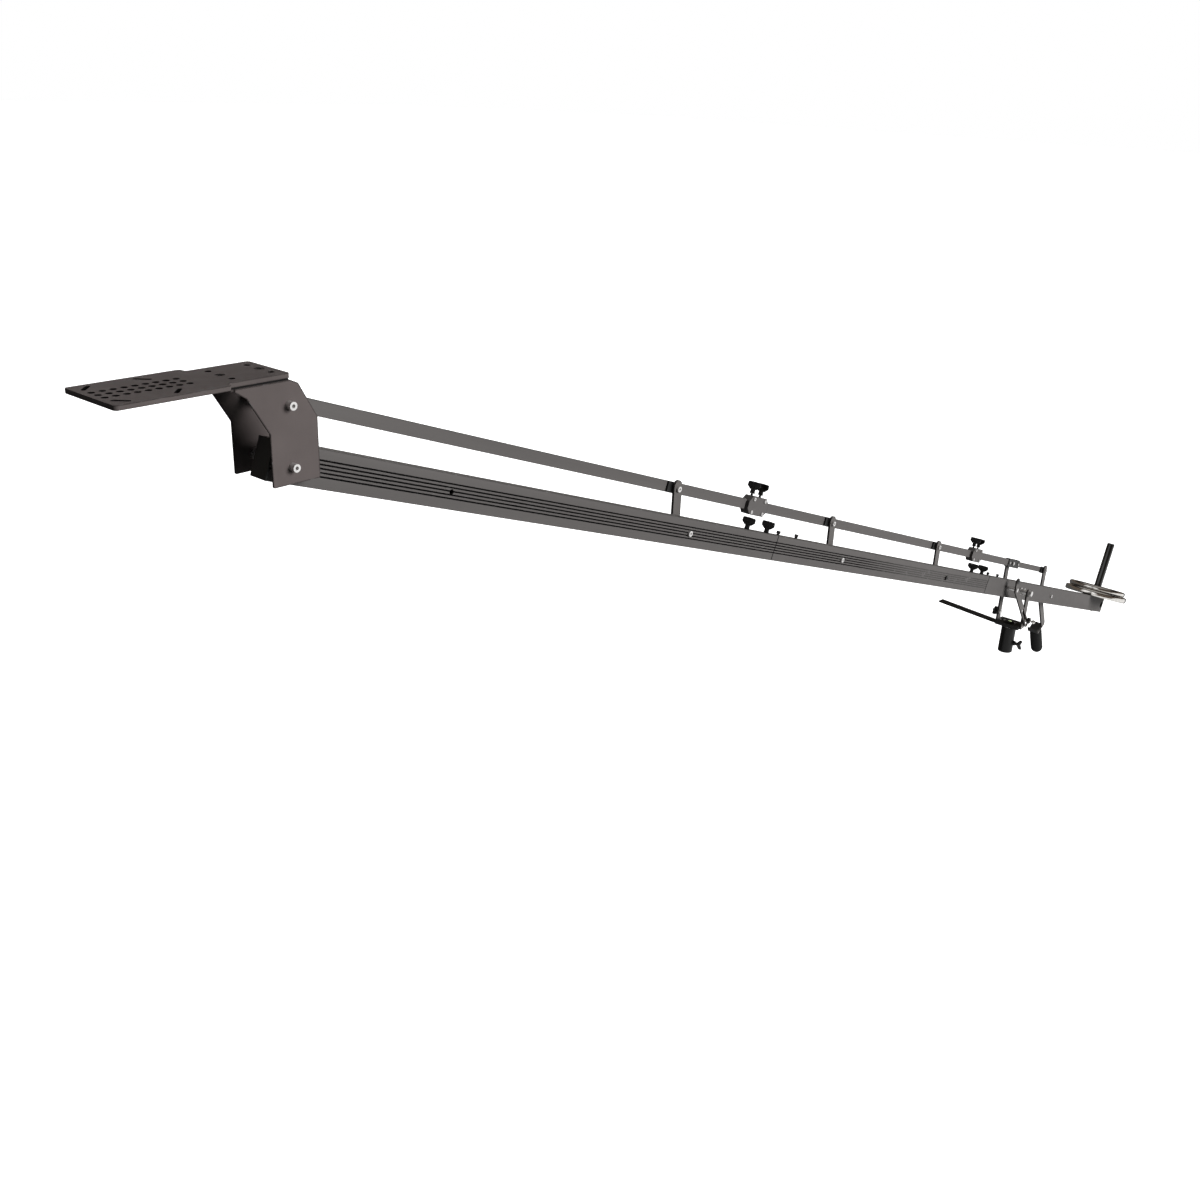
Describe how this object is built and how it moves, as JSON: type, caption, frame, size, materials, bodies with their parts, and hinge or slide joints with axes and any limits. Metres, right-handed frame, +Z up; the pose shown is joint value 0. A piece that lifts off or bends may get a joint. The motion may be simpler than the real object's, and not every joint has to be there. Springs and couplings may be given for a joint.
{
  "type": "camera jib crane",
  "caption": "Camera jib crane: a jointed boom on a panning yoke, a parallel bar that keeps the camera plate level, and weight discs.",
  "frame": {"origin": "centre of the stand socket's mouth, at the bottom of the sleeve", "axes": "+Z up along the stand socket and the pan axis, +X forward to the camera plate, +Y to the side of the tilt brake"},
  "size_m": [4.5346, 0.4244, 1.6921],
  "materials": {
    "grooved_boom": "satin dark grey powder coat on an aluminium extrusion",
    "grey_bar": "satin dark grey powder coat on aluminium flat bar",
    "black_plate": "satin black coat on aluminium plate",
    "black_steel": "satin black powder coat",
    "grey_strap": "dark grey coated flat bar",
    "black_plastic": "moulded black nylon",
    "rubber": "matt black rubber",
    "steel": "bright zinc plate",
    "chrome": "polished chrome",
    "aluminium": "mill finish",
    "bronze": "plain bearing bronze",
    "black_screws": "black oxide",
    "vial": "green bubble level"
  },
  "bodies": {
    "stand": {"stand_sleeve": "black_steel", "thrust_washer": "steel"},
    "sleeve_clamp": {"sleeve_clamp_screw": "steel"},
    "pan_base": {"base_channel": "black_steel", "turntable_hub": "black_steel", "kingpin": "steel", "bubble_level": "vial", "yoke_screws": "steel", "far_post": "grey_strap", "near_upright": "grey_strap", "fulcrum_axle": "steel", "fulcrum_washers": "steel", "pan_pivot_bolts": "steel"},
    "post_knob": {"star_knob": "black_plastic"},
    "accessory": {"accessory_bar": "black_steel"},
    "brake_clamp": {"brake_clamp_knob": "black_plastic", "brake_clamp_chrome": "chrome"},
    "boom": {"boom_front_tube": "grooved_boom", "boom_middle_tube": "grooved_boom", "boom_rear_tube": "grooved_boom", "joint_sleeves": "aluminium", "end_caps": "black_plastic", "joint_bolts": "black_screws", "link_pivot_bolts": "steel", "fulcrum_bush": "bronze", "brake_stud": "steel", "weight_rod": "black_steel", "rod_screw": "black_steel"},
    "lower_disc": {"disc_lower": "chrome"},
    "upper_disc": {"disc_upper": "chrome"},
    "boom_knob_1": {"wing_knob_1": "black_plastic"},
    "boom_knob_2": {"wing_knob_2": "black_plastic"},
    "boom_knob_3": {"wing_knob_3": "black_plastic"},
    "boom_knob_4": {"wing_knob_4": "black_plastic"},
    "brake": {"brake_arm": "grey_strap", "brake_arm_cap": "black_plastic"},
    "head": {"head_bracket": "grey_strap", "head_pad": "rubber", "camera_plate": "black_plate", "head_bolts": "steel", "head_spacers": "aluminium", "plate_screws": "black_screws"},
    "upper_bar": {"bar_front": "grey_bar", "bar_middle": "grey_bar", "bar_rear": "grey_bar", "bar_tail": "grey_bar", "bar_connectors": "grey_bar", "bar_screws": "steel", "bar_collar": "black_plate", "bar_spacers": "black_plastic", "bar_bolts": "steel"},
    "upper_knob_1": {"bar_knob_1": "black_plastic"},
    "upper_knob_2": {"bar_knob_2": "black_plastic"},
    "upper_knob_3": {"bar_knob_3": "black_plastic"},
    "upper_knob_4": {"bar_knob_4": "black_plastic"},
    "front_link": {"link_1": "grey_strap"},
    "middle_link": {"link_2": "grey_strap"},
    "rear_link": {"link_3": "grey_strap"},
    "lever": {"lever_strap": "grey_strap", "lever_grip": "rubber"}
  },
  "joints": [
    {"name": "pan", "type": "hinge", "parent": "stand", "child": "pan_base", "pos_m": [0, 0, 0.104], "axis": [0, 0, 1], "continuous": true},
    {"name": "sleeve_clamp_turn", "type": "hinge", "parent": "stand", "child": "sleeve_clamp", "pos_m": [0, 0.039, 0.038], "axis": [0, 1, 0], "range_deg": [0, 450]},
    {"name": "boom_tilt", "type": "hinge", "parent": "pan_base", "child": "boom", "pos_m": [0, 0, 0.246], "axis": [0, -1, 0], "range_deg": [-40, 20]},
    {"name": "post_knob_turn", "type": "hinge", "parent": "pan_base", "child": "post_knob", "pos_m": [0, -0.05, 0.143], "axis": [0, -1, 0], "range_deg": [0, 450]},
    {"name": "accessory_swing", "type": "hinge", "parent": "pan_base", "child": "accessory", "pos_m": [0, -0.037, 0.104], "axis": [0, 0, 1], "range_deg": [-50, 50]},
    {"name": "brake_clamp_turn", "type": "hinge", "parent": "pan_base", "child": "brake_clamp", "pos_m": [0, 0.056, 0.142], "axis": [0, 1, 0], "range_deg": [0, 450]},
    {"name": "head_level", "type": "hinge", "parent": "boom", "child": "head", "pos_m": [3.19084, 0, 1.37594], "axis": [0, -1, 0], "range_deg": [-20, 40]},
    {"name": "bar_follow", "type": "hinge", "parent": "pan_base", "child": "upper_bar", "pos_m": [0, 0, 0.341], "axis": [0, -1, 0], "range_deg": [-40, 20]},
    {"name": "front_link_level", "type": "hinge", "parent": "boom", "child": "front_link", "pos_m": [2.11246, 0, 0.99406], "axis": [0, -1, 0], "range_deg": [-20, 40]},
    {"name": "middle_link_level", "type": "hinge", "parent": "boom", "child": "middle_link", "pos_m": [1.3904, 0, 0.73837], "axis": [0, -1, 0], "range_deg": [-20, 40]},
    {"name": "rear_link_level", "type": "hinge", "parent": "boom", "child": "rear_link", "pos_m": [0.68341, 0, 0.48801], "axis": [0, -1, 0], "range_deg": [-20, 40]},
    {"name": "lever_level", "type": "hinge", "parent": "boom", "child": "lever", "pos_m": [-0.33181, 0, 0.1285], "axis": [0, -1, 0], "range_deg": [-20, 40]},
    {"name": "brake_arm_follow", "type": "hinge", "parent": "boom", "child": "brake", "pos_m": [0.14006, 0, 0.29984], "axis": [0, -1, 0], "range_deg": [-7.44, 14.38]},
    {"name": "lower_disc_lift", "type": "slide", "parent": "boom", "child": "lower_disc", "axis": [-0.3338, 0, 0.9426], "range_m": [0, 0.24]},
    {"name": "upper_disc_lift", "type": "slide", "parent": "lower_disc", "child": "upper_disc", "axis": [-0.3338, 0, 0.9426], "range_m": [0, 0.24]},
    {"name": "boom_knob_1_turn", "type": "hinge", "parent": "boom", "child": "boom_knob_1", "pos_m": [1.84923, 0, 0.93453], "axis": [-0.3338, 0, 0.9426], "range_deg": [0, 450]},
    {"name": "boom_knob_2_turn", "type": "hinge", "parent": "boom", "child": "boom_knob_2", "pos_m": [1.75968, 0, 0.90282], "axis": [-0.3338, 0, 0.9426], "range_deg": [0, 450]},
    {"name": "boom_knob_3_turn", "type": "hinge", "parent": "boom", "child": "boom_knob_3", "pos_m": [0.43904, 0, 0.43516], "axis": [-0.3338, 0, 0.9426], "range_deg": [0, 450]},
    {"name": "boom_knob_4_turn", "type": "hinge", "parent": "boom", "child": "boom_knob_4", "pos_m": [0.34949, 0, 0.40344], "axis": [-0.3338, 0, 0.9426], "range_deg": [0, 450]},
    {"name": "upper_knob_1_turn", "type": "hinge", "parent": "upper_bar", "child": "upper_knob_1", "pos_m": [1.78334, -0.037, 0.99691], "axis": [-0.3338, 0, 0.9426], "range_deg": [0, 450]},
    {"name": "upper_knob_2_turn", "type": "hinge", "parent": "upper_bar", "child": "upper_knob_2", "pos_m": [1.74564, -0.037, 0.98356], "axis": [-0.3338, 0, 0.9426], "range_deg": [0, 450]},
    {"name": "upper_knob_3_turn", "type": "hinge", "parent": "upper_bar", "child": "upper_knob_3", "pos_m": [0.36467, -0.037, 0.49453], "axis": [-0.3338, 0, 0.9426], "range_deg": [0, 450]},
    {"name": "upper_knob_4_turn", "type": "hinge", "parent": "upper_bar", "child": "upper_knob_4", "pos_m": [0.32696, -0.037, 0.48118], "axis": [-0.3338, 0, 0.9426], "range_deg": [0, 450]}
  ],
  "couplings": [
    {"joint": "head_level", "follows": "boom_tilt", "ratio": -1},
    {"joint": "bar_follow", "follows": "boom_tilt", "ratio": 1},
    {"joint": "front_link_level", "follows": "boom_tilt", "ratio": -1},
    {"joint": "middle_link_level", "follows": "boom_tilt", "ratio": -1},
    {"joint": "rear_link_level", "follows": "boom_tilt", "ratio": -1},
    {"joint": "lever_level", "follows": "boom_tilt", "ratio": -1},
    {"joint": "brake_arm_follow", "follows": "boom_tilt", "ratio": -0.347}
  ]
}
